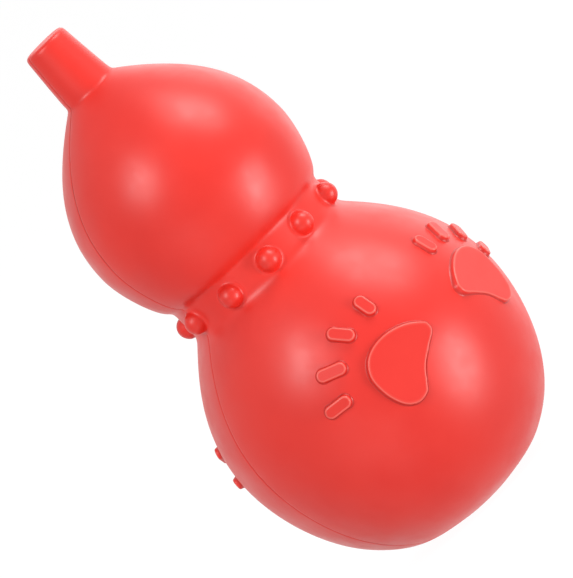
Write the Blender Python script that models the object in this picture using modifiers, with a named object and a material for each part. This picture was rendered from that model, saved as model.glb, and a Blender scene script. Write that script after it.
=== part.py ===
"""Gourd-shaped rubber dog toy with a squeaker in its base.

The toy stands on its flat base with the stem up. The frame is metres, +Z up, with the
origin at the middle of the base. The bond line of the two rubber halves lies in the
plane y = 0, and the front half faces -Y.
"""

import math

import bmesh
import bpy
from mathutils import Matrix, Vector

MM = 0.001

# Fits
GAP = 0.3 * MM  # clearance between pieces that meet without flat faces

# Rubber body, from the base up
BASE_FLAT_RADIUS = 9.6 * MM
HEEL_RADIUS = 24.25 * MM  # where the shallow underside turns up into the side
HEEL_HEIGHT = 6.65 * MM
BELLY_RADIUS = 37.4 * MM  # widest circle of the lower lobe
BELLY_HEIGHT = 37.95 * MM
LOWER_LOBE_HEIGHT = 70.5 * MM  # base to the lower crease of the waist
WAIST_RADIUS = 21.7 * MM
WAIST_BAND_HEIGHT = 7.7 * MM
CHEST_RADIUS = 27.5 * MM  # widest circle of the upper lobe
CHEST_HEIGHT = 15.7 * MM  # above the waist band
UPPER_LOBE_HEIGHT = 48.35 * MM
STEM_BASE_RADIUS = 6.75 * MM
STEM_TIP_RADIUS = 5.5 * MM
STEM_LENGTH = 14.45 * MM
STEM_EDGE_RADIUS = 1.1 * MM
WALL = 4.5 * MM  # rubber thickness of the lobes

# Directions of the outline where its curves meet, in degrees above the outward radius
UNDERSIDE_ANGLE = 26.9
HEEL_ANGLE = 40.6
UPRIGHT = 90.0
LOWER_CREASE_ANGLE = 115.0
UPPER_CREASE_ANGLE = 4.0
SHOULDER_ANGLE = 143.7

# Lengths of the two handles of each curve, as shares of the distance between its ends
UNDERSIDE_HANDLES = (0.20, 0.46)
LOWER_SIDE_HANDLES = (0.27, 0.39)
LOWER_SHOULDER_HANDLES = (0.53, 0.06)
UPPER_SIDE_HANDLES = (0.15, 0.29)
UPPER_SHOULDER_HANDLES = (0.36, 0.42)

# Nubs and paw prints: they are set out from a line down the front, which is turned a
# little from the middle of the front half towards +X
DECORATION_TURN = 8.0
NUB_RADIUS = 3.25 * MM
NUB_SINK = 0.3 * MM  # middle of each ball under the waist band

# Each nub: angle from the line towards -X, and height above the foot of the waist band
NUBS = (
    (62.1, 4.1 * MM),
    (32.0, 3.8 * MM),
    (-2.0, 3.5 * MM),
    (-40.5, 3.4 * MM),
    (-76.5, 3.1 * MM),
    (-117.9, 4.1 * MM),
    (-147.5, 3.8 * MM),
    (178.0, 3.5 * MM),
    (139.5, 2.4 * MM),
    (103.5, 3.1 * MM),
)

# Each toe: angle from the line, height above the base, length, and lean of its long axis
# from the horizontal. The right print's toes are given as their mirror images
LEFT_TOES = (
    (19.2, 52.6 * MM, 6.1 * MM, 94.5),
    (33.0, 51.9 * MM, 6.9 * MM, 129.0),
    (44.5, 47.6 * MM, 7.6 * MM, 160.0),
    (50.8, 41.2 * MM, 7.3 * MM, 175.0),
)
RIGHT_TOES = (
    (19.3, 51.6 * MM, 6.2 * MM, 94.0),
    (32.5, 50.9 * MM, 7.0 * MM, 127.0),
    (44.0, 47.0 * MM, 7.0 * MM, 152.0),
    (48.0, 40.2 * MM, 7.0 * MM, 172.0),
)
TOE_RISE = 1.0 * MM
TOE_EDGE = 0.5 * MM
TOE_WIDTH = 3.5 * MM
LEFT_PAD_ANGLE = 23.5
RIGHT_PAD_ANGLE = 24.2
PAD_HEIGHT = 37.8 * MM
PAD_RISE = 0.1 * MM  # over the lobe at the middle of the pad, whose top is flat
PAD_EDGE = 0.25 * MM
# The left pad's outline as seen from outside, right and up from its middle, in mm
PAD_OUTLINE = (
    (-8.9, 1.2),
    (-8.2, 4.1),
    (-6.1, 6.6),
    (-2.9, 7.9),
    (1.3, 7.9),
    (5.7, 6.4),
    (9.0, 3.9),
    (9.7, 2.3),
    (9.0, 0.5),
    (5.8, -1.5),
    (2.5, -3.9),
    (-0.1, -7.0),
    (-1.4, -8.2),
    (-4.2, -8.5),
    (-6.9, -6.7),
    (-8.5, -3.0),
)

# Squeaker, from its outer face inwards
SQUEAKER_RECESS = 0.8 * MM  # outer face behind the base
SQUEAKER_RADIUS = 5.6 * MM
SQUEAKER_LENGTH = 12.4 * MM
SQUEAKER_WALL = 0.8 * MM
FLANGE_RADIUS = 7.4 * MM
FLANGE_THICKNESS = 1.2 * MM
FLANGE_DEPTH = 5.0 * MM  # outer face to flange
LIP_WIDTH = 0.9 * MM  # turned in at the inner end, which stops the reed block
LIP_THICKNESS = 0.8 * MM
COLLAR_WALL = 4.6 * MM  # rubber round the squeaker, inside the toy
CAP_THICKNESS = 1.4 * MM
CAP_EDGE = 0.25 * MM
AIR_HOLE_RADIUS = 0.7 * MM
AIR_HOLE_CIRCLE = 2.5 * MM
AIR_HOLES = 6

# Reed
REED_WIDTH = 4.0 * MM
REED_THICKNESS = 0.2 * MM
REED_FREE_LENGTH = 4.6 * MM
REED_ROOT_LENGTH = 2.4 * MM
REED_SLOT = 0.7 * MM  # between block and clamp, where the reed's root is held
REED_RELIEF = 0.5 * MM  # cut out of the block beside the free end
CHANNEL_WIDTH = 1.8 * MM
CHANNEL_DEPTH = 1.6 * MM

# Smoothness of the solids
TURN_STEPS = 48
SMALL_TURN_STEPS = 32
HOLE_STEPS = 12
NUB_STEPS = 16
CURVE_STEPS = 2  # of a pad's outline, between two of its points
HOLLOW_SKIP = 2  # the hollow follows every second point of the outline, and both creases
AXIS_MERGE = 1e-5  # closes the turned surfaces on their axis
CLEAR = 1.0 * MM  # how far a cutter runs past what it cuts

# Levels that follow from the sizes above
WAIST_BOTTOM = LOWER_LOBE_HEIGHT
WAIST_TOP = WAIST_BOTTOM + WAIST_BAND_HEIGHT
STEM_BASE = WAIST_TOP + UPPER_LOBE_HEIGHT
TOTAL_HEIGHT = STEM_BASE + STEM_LENGTH
SOCKET_RADIUS = SQUEAKER_RADIUS + GAP
COLLAR_RADIUS = SOCKET_RADIUS + COLLAR_WALL
SQUEAKER_TOP = SQUEAKER_RECESS + SQUEAKER_LENGTH
COLLAR_TOP = SQUEAKER_TOP + GAP
FLANGE_BOTTOM = SQUEAKER_RECESS + FLANGE_DEPTH
FLANGE_TOP = FLANGE_BOTTOM + FLANGE_THICKNESS
BORE_RADIUS = SQUEAKER_RADIUS - SQUEAKER_WALL
INSERT_RADIUS = BORE_RADIUS - GAP
CAP_TOP = SQUEAKER_RECESS + CAP_THICKNESS
BLOCK_BOTTOM = CAP_TOP + GAP
BLOCK_TOP = SQUEAKER_TOP - LIP_THICKNESS - GAP
REED_TOP = BLOCK_TOP
REED_AXIS_HEIGHT = REED_TOP - REED_ROOT_LENGTH
REED_TIP = REED_AXIS_HEIGHT - REED_FREE_LENGTH


# Scene and collections

for leftover in list(bpy.data.objects):
    bpy.data.objects.remove(leftover, do_unlink=True)

toy_parts = bpy.data.collections.new("dog_toy")
cutters = bpy.data.collections.new("cutters")
bpy.context.scene.collection.children.link(toy_parts)
bpy.context.scene.collection.children.link(cutters)
cutters.hide_render = True


# Materials


def material(name, color, roughness):
    """A Principled material of one colour."""
    made = bpy.data.materials.new(name)
    made.use_nodes = True
    shader = made.node_tree.nodes["Principled BSDF"]
    shader.inputs["Base Color"].default_value = (*color, 1.0)
    shader.inputs["Roughness"].default_value = roughness
    shader.inputs["Metallic"].default_value = 0.0
    made.diffuse_color = (*color, 1.0)
    return made


RED_RUBBER = material("red_rubber", (0.80, 0.045, 0.035), 0.42)
WHITE_PLASTIC = material("white_plastic", (0.80, 0.80, 0.77), 0.45)
REED_PLASTIC = material("reed_plastic", (0.72, 0.76, 0.78), 0.25)


# Modelling helpers


def add_object(name, mesh, collection, finish=None):
    """An object for a mesh, in its collection."""
    made = bpy.data.objects.new(name, mesh)
    collection.objects.link(made)
    if finish is not None:
        made.data.materials.append(finish)
    if collection is cutters:
        made.hide_render = True
        made.display_type = "WIRE"
    return made


def shade_round(piece, sharp_angle=35.0):
    """Smooth shading with edges kept where the surface turns sharply."""
    piece.data.shade_smooth()
    piece.data.set_sharp_from_angle(angle=math.radians(sharp_angle))


def turned(name, profile, steps, collection, finish=None):
    """A profile of (radius, height) points turned about Z, its outer side listed top to bottom."""
    mesh = bpy.data.meshes.new(name)
    points = [(radius, 0.0, height) for radius, height in profile]
    edges = [(i, i + 1) for i in range(len(points) - 1)]
    if profile[0][0] > 0.0:
        edges.append((len(points) - 1, 0))
    mesh.from_pydata(points, edges, [])
    made = add_object(name, mesh, collection, finish)
    screw = made.modifiers.new("turn", "SCREW")
    screw.axis = "Z"
    screw.angle = 2.0 * math.pi
    screw.steps = steps
    screw.render_steps = steps
    screw.use_merge_vertices = True
    screw.merge_threshold = AXIS_MERGE
    screw.use_smooth_shade = True
    return made


def box(name, low, high, collection, finish=None):
    """A box between two corners."""
    mesh = bpy.data.meshes.new(name)
    shape = bmesh.new()
    bmesh.ops.create_cube(shape, size=1.0)
    low = Vector(low)
    high = Vector(high)
    bmesh.ops.scale(shape, vec=high - low, verts=shape.verts)
    bmesh.ops.translate(shape, vec=(low + high) / 2.0, verts=shape.verts)
    shape.to_mesh(mesh)
    shape.free()
    return add_object(name, mesh, collection, finish)


def combine(piece, other, operation):
    """A Boolean modifier with one object."""
    step = piece.modifiers.new(f"{operation.lower()} {other.name}", "BOOLEAN")
    step.operation = operation
    step.object = other
    step.solver = "EXACT"


def direction(degrees):
    """The unit vector at an angle above the outward radius."""
    return Vector((math.cos(math.radians(degrees)), math.sin(math.radians(degrees))))


def bezier(start, start_angle, end, end_angle, handles, count):
    """Points of a cubic curve between two outline points, whose handles lie along the given
    angles and are the given shares of the distance between the points."""
    start = Vector(start)
    end = Vector(end)
    reach = (end - start).length
    handle_1 = start + direction(start_angle) * reach * handles[0]
    handle_2 = end - direction(end_angle) * reach * handles[1]
    points = []
    for i in range(count + 1):
        s = i / count
        point = (1 - s) ** 3 * start + 3 * (1 - s) ** 2 * s * handle_1
        point += 3 * (1 - s) * s**2 * handle_2 + s**3 * end
        points.append(point)
    return points


# Outline of the rubber body, upwards from the edge of the flat base to the foot of the stem

base_edge = (BASE_FLAT_RADIUS, 0.0)
heel = (HEEL_RADIUS, HEEL_HEIGHT)
belly = (BELLY_RADIUS, BELLY_HEIGHT)
lower_crease = (WAIST_RADIUS, WAIST_BOTTOM)
upper_crease = (WAIST_RADIUS, WAIST_TOP)
chest = (CHEST_RADIUS, WAIST_TOP + CHEST_HEIGHT)
stem_foot = (STEM_BASE_RADIUS, STEM_BASE)

underside = bezier(base_edge, UNDERSIDE_ANGLE, heel, HEEL_ANGLE, UNDERSIDE_HANDLES, 4)
lower_side = bezier(heel, HEEL_ANGLE, belly, UPRIGHT, LOWER_SIDE_HANDLES, 8)
lower_shoulder = bezier(
    belly, UPRIGHT, lower_crease, LOWER_CREASE_ANGLE, LOWER_SHOULDER_HANDLES, 8
)
upper_side = bezier(upper_crease, UPPER_CREASE_ANGLE, chest, UPRIGHT, UPPER_SIDE_HANDLES, 5)
upper_shoulder = bezier(chest, UPRIGHT, stem_foot, SHOULDER_ANGLE, UPPER_SHOULDER_HANDLES, 9)
OUTLINE = underside + lower_side[1:] + lower_shoulder[1:] + upper_side + upper_shoulder[1:]


def outline_at(height):
    """Radius of the outline at a height, and the outward normal there as (radial, vertical)."""
    for below, above in zip(OUTLINE, OUTLINE[1:]):
        if below.y <= height <= above.y:
            share = (height - below.y) / (above.y - below.y)
            along = (above - below).normalized()
            return below.x + share * (above.x - below.x), Vector((along.y, -along.x))
    raise ValueError("the height lies outside the lobes")


def stem_profile():
    """Tip to foot: a flat end, a rounded edge and a straight taper."""
    centre = Vector((STEM_TIP_RADIUS - STEM_EDGE_RADIUS, TOTAL_HEIGHT - STEM_EDGE_RADIUS))
    points = [Vector((0.0, TOTAL_HEIGHT))]
    for degrees in (90.0, 60.0, 30.0, 0.0):
        points.append(centre + STEM_EDGE_RADIUS * direction(degrees))
    return points


def socket_profile():
    """The squeaker's socket, from the base up: a hole, a groove for its flange and a collar."""
    groove_radius = FLANGE_RADIUS + GAP
    return [
        Vector((SOCKET_RADIUS, 0.0)),
        Vector((SOCKET_RADIUS, FLANGE_BOTTOM - GAP)),
        Vector((groove_radius, FLANGE_BOTTOM - GAP)),
        Vector((groove_radius, FLANGE_TOP + GAP)),
        Vector((SOCKET_RADIUS, FLANGE_TOP + GAP)),
        Vector((SOCKET_RADIUS, COLLAR_TOP)),
        Vector((COLLAR_RADIUS, COLLAR_TOP)),
    ]


def cavity_profile():
    """The hollow, from the collar's foot up to the crown: the outline moved in by the wall."""
    points = []
    creases = []
    for i, point in enumerate(OUTLINE):
        before = OUTLINE[max(i - 1, 0)]
        after = OUTLINE[min(i + 1, len(OUTLINE) - 1)]
        along = (after - before).normalized()
        points.append(point - WALL * Vector((along.y, -along.x)))
        if abs(point.x - WAIST_RADIUS) < AXIS_MERGE:
            creases.append(points[-1])
    crown_radius = STEM_TIP_RADIUS / 2.0
    hollow = [p for p in points if p.y < COLLAR_TOP and p.x > COLLAR_RADIUS + WALL / 2.0]
    hollow += [p for p in points if p.y >= COLLAR_TOP and p.x > crown_radius]
    foot = Vector((COLLAR_RADIUS, hollow[0].y - WALL / 4.0))
    crown = Vector((0.0, hollow[-1].y + WALL / 8.0))
    rows = [p for i, p in enumerate(hollow) if i % HOLLOW_SKIP == 0 or p in creases]
    return [foot, *rows, crown]


# Raised shapes on the rubber: nubs, toes and pads


def frame_on_lobe(angle, height, lean, rise):
    """A matrix with Z out of the lobe, X to the right as seen from outside, turned by the
    lean, and its origin the rise above the surface."""
    radius, normal = outline_at(height)
    turn = math.radians(angle)
    radial = Vector((-math.sin(turn), -math.cos(turn), 0.0))
    out = radial * normal.x + Vector((0.0, 0.0, normal.y))
    right = Vector((math.cos(turn), -math.sin(turn), 0.0))
    up = out.cross(right)
    origin = radial * radius + Vector((0.0, 0.0, height)) + out * rise
    axes = Matrix((right, up, out)).transposed().to_4x4()
    return Matrix.Translation(origin) @ axes @ Matrix.Rotation(math.radians(lean), 4, "Z")


def flat_solid(name, outline, thickness, edge, place, smooth):
    """A flat outline, made solid below its top face, with a rounded edge. The outline is a
    smooth curve through its points or, where smooth is False, straight between them."""
    curve = bpy.data.curves.new(name, "CURVE")
    curve.dimensions = "2D"
    curve.fill_mode = "BOTH"
    curve.extrude = thickness / 2.0
    curve.resolution_u = CURVE_STEPS
    spline = curve.splines.new("BEZIER" if smooth else "POLY")
    if smooth:
        spline.bezier_points.add(len(outline) - 1)
        for knot, (x, y) in zip(spline.bezier_points, outline):
            knot.co = (x, y, 0.0)
            knot.handle_left_type = "AUTO"
            knot.handle_right_type = "AUTO"
    else:
        spline.points.add(len(outline) - 1)
        for knot, (x, y) in zip(spline.points, outline):
            knot.co = (x, y, 0.0, 1.0)
    spline.use_cyclic_u = True
    drawn = bpy.data.objects.new(name, curve)
    cutters.objects.link(drawn)
    bpy.context.view_layer.update()
    graph = bpy.context.evaluated_depsgraph_get()
    mesh = bpy.data.meshes.new_from_object(drawn.evaluated_get(graph))
    bpy.data.objects.remove(drawn, do_unlink=True)
    shape = bmesh.new()
    shape.from_mesh(mesh)
    bmesh.ops.remove_doubles(shape, verts=shape.verts, dist=AXIS_MERGE)
    bmesh.ops.translate(shape, vec=(0.0, 0.0, -thickness / 2.0), verts=shape.verts)
    bmesh.ops.transform(shape, matrix=place, verts=shape.verts)
    bmesh.ops.recalc_face_normals(shape, faces=shape.faces)
    shape.to_mesh(mesh)
    shape.free()
    made = add_object(name, mesh, cutters)
    rounding = made.modifiers.new("rounded edge", "BEVEL")
    rounding.width = edge
    rounding.segments = 2
    rounding.limit_method = "ANGLE"
    rounding.angle_limit = math.radians(50.0)
    return made


def toe_outline(length):
    """A strip with round ends, its length along X."""
    radius = TOE_WIDTH / 2.0
    points = []
    for centre, first in ((length / 2.0 - radius, -90.0), (radius - length / 2.0, 90.0)):
        for i in range(7):
            turn = math.radians(first + 30.0 * i)
            points.append((centre + radius * math.cos(turn), radius * math.sin(turn)))
    return points


def mirror_across_x(piece):
    """Mirrors a mesh in the plane x = 0, with its faces still outward."""
    shape = bmesh.new()
    shape.from_mesh(piece.data)
    bmesh.ops.scale(shape, vec=(-1.0, 1.0, 1.0), verts=shape.verts)
    bmesh.ops.reverse_faces(shape, faces=shape.faces)
    shape.to_mesh(piece.data)
    shape.free()


def paw_print(name, toes, pad_angle, mirrored):
    """Four toes and a pad beside the line x = 0 on the front: on the left of it or, mirrored,
    on its right."""
    made = []
    for number, (angle, height, length, lean) in enumerate(toes, start=1):
        place = frame_on_lobe(angle, height, lean, TOE_RISE)
        thickness = WALL / 2.0 + TOE_RISE
        made.append(
            flat_solid(
                f"{name}_toe_{number}", toe_outline(length), thickness, TOE_EDGE, place, False
            )
        )
    outline = [(x * MM, y * MM) for x, y in PAD_OUTLINE]
    place = frame_on_lobe(pad_angle, PAD_HEIGHT, 0.0, PAD_RISE)
    made.append(flat_solid(f"{name}_pad", outline, WALL / 2.0, PAD_EDGE, place, True))
    if mirrored:
        for piece in made:
            mirror_across_x(piece)
    return made


def nub(name, angle, height):
    """A ball that stands out of the waist band by a little less than its radius."""
    mesh = bpy.data.meshes.new(name)
    shape = bmesh.new()
    bmesh.ops.create_uvsphere(
        shape, u_segments=NUB_STEPS, v_segments=NUB_STEPS // 2, radius=NUB_RADIUS
    )
    turn = Matrix.Rotation(-math.radians(angle), 4, "Z")
    place = turn @ Matrix.Translation((0.0, NUB_SINK - WAIST_RADIUS, WAIST_BOTTOM + height))
    place = place @ Matrix.Rotation(math.radians(90.0), 4, "X")
    bmesh.ops.transform(shape, matrix=place, verts=shape.verts)
    shape.to_mesh(mesh)
    shape.free()
    return add_object(name, mesh, cutters)


# Rubber halves


def rubber_half(name, facing):
    """One half of the rubber body. Facing is -1 for the front half and 1 for the back half."""
    profile = [
        *stem_profile(),
        *reversed(upper_shoulder),
        *reversed(upper_side[:-1]),
        *reversed(lower_shoulder),
        *reversed(lower_side[:-1]),
        *reversed(underside[:-1]),
        *socket_profile(),
        *cavity_profile(),
    ]
    half = turned(name, profile, TURN_STEPS, toy_parts, RED_RUBBER)
    nubs = [nub(f"{name}_nub_{i + 1}", *place) for i, place in enumerate(NUBS)]
    prints = paw_print(f"{name}_left_print", LEFT_TOES, LEFT_PAD_ANGLE, False)
    prints += paw_print(f"{name}_right_print", RIGHT_TOES, RIGHT_PAD_ANGLE, True)
    # The back half's prints are the front's turned half round
    half_round_turn = 180.0 if facing > 0 else 0.0
    for pieces, turn in ((nubs, 0.0), (prints, half_round_turn)):
        for piece in pieces:
            piece.rotation_euler.z = math.radians(DECORATION_TURN + turn)
            combine(half, piece, "UNION")
    reach = BELLY_RADIUS + NUB_RADIUS
    low = Vector((-reach, 0.0, -CLEAR))
    high = Vector((reach, reach, TOTAL_HEIGHT + CLEAR))
    if facing > 0:
        low.y = -reach
        high.y = 0.0
    combine(half, box(f"{name}_other_side", low, high, cutters), "DIFFERENCE")
    return half


front_shell = rubber_half("front_shell", -1)
back_shell = rubber_half("back_shell", 1)


# Squeaker

squeaker_body = turned(
    "squeaker_body",
    [
        (SQUEAKER_RADIUS, SQUEAKER_TOP),
        (SQUEAKER_RADIUS, FLANGE_TOP),
        (FLANGE_RADIUS, FLANGE_TOP),
        (FLANGE_RADIUS, FLANGE_BOTTOM),
        (SQUEAKER_RADIUS, FLANGE_BOTTOM),
        (SQUEAKER_RADIUS, SQUEAKER_RECESS),
        (BORE_RADIUS, SQUEAKER_RECESS),
        (BORE_RADIUS, SQUEAKER_TOP - LIP_THICKNESS),
        (BORE_RADIUS - LIP_WIDTH, SQUEAKER_TOP - LIP_THICKNESS),
        (BORE_RADIUS - LIP_WIDTH, SQUEAKER_TOP),
    ],
    SMALL_TURN_STEPS,
    toy_parts,
    WHITE_PLASTIC,
)

squeaker_cap = turned(
    "squeaker_cap",
    [
        (0.0, CAP_TOP),
        (INSERT_RADIUS, CAP_TOP),
        (INSERT_RADIUS, SQUEAKER_RECESS + CAP_EDGE),
        (INSERT_RADIUS - CAP_EDGE, SQUEAKER_RECESS),
        (0.0, SQUEAKER_RECESS),
    ],
    SMALL_TURN_STEPS,
    toy_parts,
    WHITE_PLASTIC,
)
for hole in range(AIR_HOLES):
    around = 2.0 * math.pi * hole / AIR_HOLES
    drill_mesh = bpy.data.meshes.new(f"air_hole_{hole + 1}")
    drill_shape = bmesh.new()
    bmesh.ops.create_cone(
        drill_shape,
        cap_ends=True,
        segments=HOLE_STEPS,
        radius1=AIR_HOLE_RADIUS,
        radius2=AIR_HOLE_RADIUS,
        depth=CAP_THICKNESS + 2.0 * CLEAR,
    )
    middle = Vector((
        AIR_HOLE_CIRCLE * math.cos(around),
        AIR_HOLE_CIRCLE * math.sin(around),
        (CAP_TOP + SQUEAKER_RECESS) / 2.0,
    ))  # fmt: skip
    bmesh.ops.translate(drill_shape, vec=middle, verts=drill_shape.verts)
    drill_shape.to_mesh(drill_mesh)
    drill_shape.free()
    combine(squeaker_cap, add_object(drill_mesh.name, drill_mesh, cutters), "DIFFERENCE")


def half_round(name, bottom, top, face, behind):
    """A round insert cut off flat. It lies behind the face at y, which is +Y where behind is 1."""
    profile = [(0.0, top), (INSERT_RADIUS, top), (INSERT_RADIUS, bottom), (0.0, bottom)]
    insert = turned(name, profile, SMALL_TURN_STEPS, toy_parts, WHITE_PLASTIC)
    reach = INSERT_RADIUS + CLEAR
    low = Vector((-reach, -reach, bottom - CLEAR))
    high = Vector((reach, face, top + CLEAR))
    if behind < 0:
        low.y = face
        high.y = reach
    combine(insert, box(f"{name}_flat", low, high, cutters), "DIFFERENCE")
    return insert


reed_block = half_round("reed_block", BLOCK_BOTTOM, BLOCK_TOP, REED_SLOT / 2.0, 1)
relief_face = REED_SLOT / 2.0 + REED_RELIEF
combine(
    reed_block,
    box(
        "reed_relief",
        (-INSERT_RADIUS - CLEAR, -CLEAR, BLOCK_BOTTOM - CLEAR),
        (INSERT_RADIUS + CLEAR, relief_face, REED_AXIS_HEIGHT),
        cutters,
    ),
    "DIFFERENCE",
)
combine(
    reed_block,
    box(
        "air_channel",
        (-CHANNEL_WIDTH / 2.0, -CLEAR, BLOCK_BOTTOM - CLEAR),
        (CHANNEL_WIDTH / 2.0, relief_face + CHANNEL_DEPTH, BLOCK_TOP + CLEAR),
        cutters,
    ),
    "DIFFERENCE",
)

reed_clamp = half_round("reed_clamp", REED_AXIS_HEIGHT, BLOCK_TOP, -REED_SLOT / 2.0, -1)

# The reed bends at the clamp's lower edge, where its origin lies
reed = box(
    "reed",
    (-REED_WIDTH / 2.0, -REED_THICKNESS / 2.0, REED_TIP - REED_AXIS_HEIGHT),
    (REED_WIDTH / 2.0, REED_THICKNESS / 2.0, REED_TOP - REED_AXIS_HEIGHT),
    toy_parts,
    REED_PLASTIC,
)
reed.location = (0.0, 0.0, REED_AXIS_HEIGHT)

for round_piece in (front_shell, back_shell, squeaker_body, squeaker_cap, reed_block, reed_clamp):
    shade_round(round_piece)
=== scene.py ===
"""Looks of the gourd-shaped rubber dog toy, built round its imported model.

All sizes are metres in the model's own frame: +Z up along the toy, origin in the middle of
its base, bond line of the two rubber halves in the plane y = 0, front half towards -Y.
"""

import math

import bmesh
import bpy
import numpy as np
from mathutils import Matrix, Vector


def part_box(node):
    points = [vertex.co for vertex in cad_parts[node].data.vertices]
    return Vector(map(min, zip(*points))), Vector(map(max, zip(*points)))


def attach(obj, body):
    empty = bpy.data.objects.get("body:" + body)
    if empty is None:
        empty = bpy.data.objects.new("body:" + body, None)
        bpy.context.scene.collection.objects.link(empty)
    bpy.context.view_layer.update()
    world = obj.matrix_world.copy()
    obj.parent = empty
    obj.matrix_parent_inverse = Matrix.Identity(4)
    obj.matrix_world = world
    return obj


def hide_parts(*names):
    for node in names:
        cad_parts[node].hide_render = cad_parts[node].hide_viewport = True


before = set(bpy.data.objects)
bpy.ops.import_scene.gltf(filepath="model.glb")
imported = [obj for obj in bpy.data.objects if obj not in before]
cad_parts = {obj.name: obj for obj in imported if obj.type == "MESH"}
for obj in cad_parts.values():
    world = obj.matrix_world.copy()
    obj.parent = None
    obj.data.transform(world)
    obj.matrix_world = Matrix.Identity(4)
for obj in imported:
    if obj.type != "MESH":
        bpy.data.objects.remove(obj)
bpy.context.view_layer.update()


# Rubber of the two shells
# Natural rubber, moulded red all through. Its skin is satin, with the slight cloudiness and
# the few dark specks of a moulded toy, and grime sits in the bond line. Toes and pads get a
# painted highlight along their rounded top edges and painted shade in the crease at their feet.

MM = 0.001
RUBBER_RED = (0.80, 0.030, 0.019)
RUBBER_DEEP_RED = (0.76, 0.024, 0.015)  # in the cloudy patches
SPECK_BROWN = (0.25, 0.02, 0.012)
EDGE_HIGHLIGHT_RED = (0.93, 0.20, 0.16)  # painted highlight along the rounded top edges of toes and pads
CREASE_SHADE_RED = (0.42, 0.014, 0.010)  # painted shade in the crease at the foot of a raised shape
BOND_BROWN = (0.36, 0.030, 0.022)
RUBBER_ROUGHNESS = 0.39
ROUGHNESS_RANGE = 0.04
CLOUD_SIZE = 26 * MM
SPECK_SPACING = 9 * MM
SPECK_RADIUS = 0.16 * MM
SPECK_SHARE = 0.22  # of the places that could hold a speck
SPECK_STRENGTH = 0.75
BOND_LINE_WIDTH = 0.16 * MM
# The line is plainest on the upper lobe and hardly shows on the lower one's side: its
# strength rises between the upper heights and falls between the low ones
UPPER_LINE = (92 * MM, 104 * MM)
LOW_LINE = (9 * MM, 16 * MM)
SIDE_LINE_STRENGTH = 0.22
LOW_LINE_STRENGTH = 0.5
GRIME_STRENGTH = (0.15, 0.9)
GRIME_PER_METRE = 70.0
EDGE_HIGHLIGHT_STRENGTH = 0.55
CREASE_SHADE_STRENGTH = 0.6
ROUGH_PATCHES_PER_METRE = 160.0
SKIN_GRAIN = 0.55 * MM
SKIN_GRAIN_DEPTH = 0.006 * MM


class Nodes:
    """Adds shader nodes to one material and links them."""

    def __init__(self, material):
        self.tree = material.node_tree

    def add(self, kind, settings=None, **inputs):
        """A node of a kind, its settings and its inputs by name, each a value or a socket."""
        node = self.tree.nodes.new(kind)
        for name, value in (settings or {}).items():
            setattr(node, name, value)
        for name, value in inputs.items():
            self.put(node.inputs[name.replace("_", " ")], value)
        return node

    def put(self, socket, value):
        """A value or a link into a socket."""
        if isinstance(value, bpy.types.NodeSocket):
            self.tree.links.new(value, socket)
        else:
            socket.default_value = value

    def maths(self, operation, first, second=0.0, third=0.0):
        """One arithmetic step on numbers or sockets."""
        node = self.tree.nodes.new("ShaderNodeMath")
        node.operation = operation
        for socket, value in zip(node.inputs, (first, second, third)):
            self.put(socket, value)
        return node.outputs[0]

    def ramp(self, value, low, high, to_low=0.0, to_high=1.0):
        """Smooth step from to_low below low to to_high above high."""
        node = self.add(
            "ShaderNodeMapRange", {"interpolation_type": "SMOOTHSTEP"},
            Value=value, From_Min=low, From_Max=high, To_Min=to_low, To_Max=to_high,
        )  # fmt: skip
        return node.outputs["Result"]

    def mix(self, factor, first, second):
        """Colour between first and second."""
        node = self.tree.nodes.new("ShaderNodeMix")
        node.data_type = "RGBA"
        self.put(node.inputs["Factor"], factor)
        for name, value in (("A", first), ("B", second)):
            socket = [i for i in node.inputs if i.name == name and i.type == "RGBA"][0]
            self.put(socket, value if isinstance(value, bpy.types.NodeSocket) else (*value, 1.0))
        return [o for o in node.outputs if o.type == "RGBA"][0]


def new_material(name):
    """A material with its Principled shader and a node adder."""
    made = bpy.data.materials.new(name)
    made.use_nodes = True
    return made, made.node_tree.nodes["Principled BSDF"], Nodes(made)


red_rubber, shader, nodes = new_material("red_rubber")
place = nodes.add("ShaderNodeTexCoord").outputs["Object"]
clouds = nodes.add(
    "ShaderNodeTexNoise", Vector=place, Scale=1 / CLOUD_SIZE, Detail=4.0, Roughness=0.55
)
cloudy = nodes.ramp(clouds.outputs["Fac"], 0.38, 0.66)
skin = nodes.mix(cloudy, RUBBER_RED, RUBBER_DEEP_RED)

speck_cells = nodes.add("ShaderNodeTexVoronoi", Vector=place, Scale=1 / SPECK_SPACING)
speck_lot = nodes.add("ShaderNodeSeparateColor", Color=speck_cells.outputs["Color"])
speck_size = SPECK_RADIUS / SPECK_SPACING
speck_near = nodes.ramp(speck_cells.outputs["Distance"], speck_size * 0.5, speck_size, 1.0, 0.0)
speck_drawn = nodes.maths("LESS_THAN", speck_lot.outputs["Red"], SPECK_SHARE)
speck = nodes.maths("MULTIPLY", speck_near, speck_drawn)
skin = nodes.mix(nodes.maths("MULTIPLY", speck, SPECK_STRENGTH), skin, SPECK_BROWN)

xyz = nodes.add("ShaderNodeSeparateXYZ", Vector=place)
off_bond = nodes.maths("ABSOLUTE", xyz.outputs["Y"])
bond_near = nodes.ramp(off_bond, BOND_LINE_WIDTH * 0.3, BOND_LINE_WIDTH, 1.0, 0.0)
grime = nodes.add("ShaderNodeTexNoise", Vector=place, Scale=GRIME_PER_METRE, Detail=3.0)
grimy = nodes.ramp(grime.outputs["Fac"], 0.3, 0.6, *GRIME_STRENGTH)
upper_line = nodes.ramp(xyz.outputs["Z"], *UPPER_LINE, SIDE_LINE_STRENGTH, 1.0)
low_line = nodes.ramp(xyz.outputs["Z"], *LOW_LINE, LOW_LINE_STRENGTH, 0.0)
grimy = nodes.maths("MULTIPLY", grimy, nodes.maths("ADD", upper_line, low_line))
skin = nodes.mix(nodes.maths("MULTIPLY", bond_near, grimy), skin, BOND_BROWN)
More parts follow.
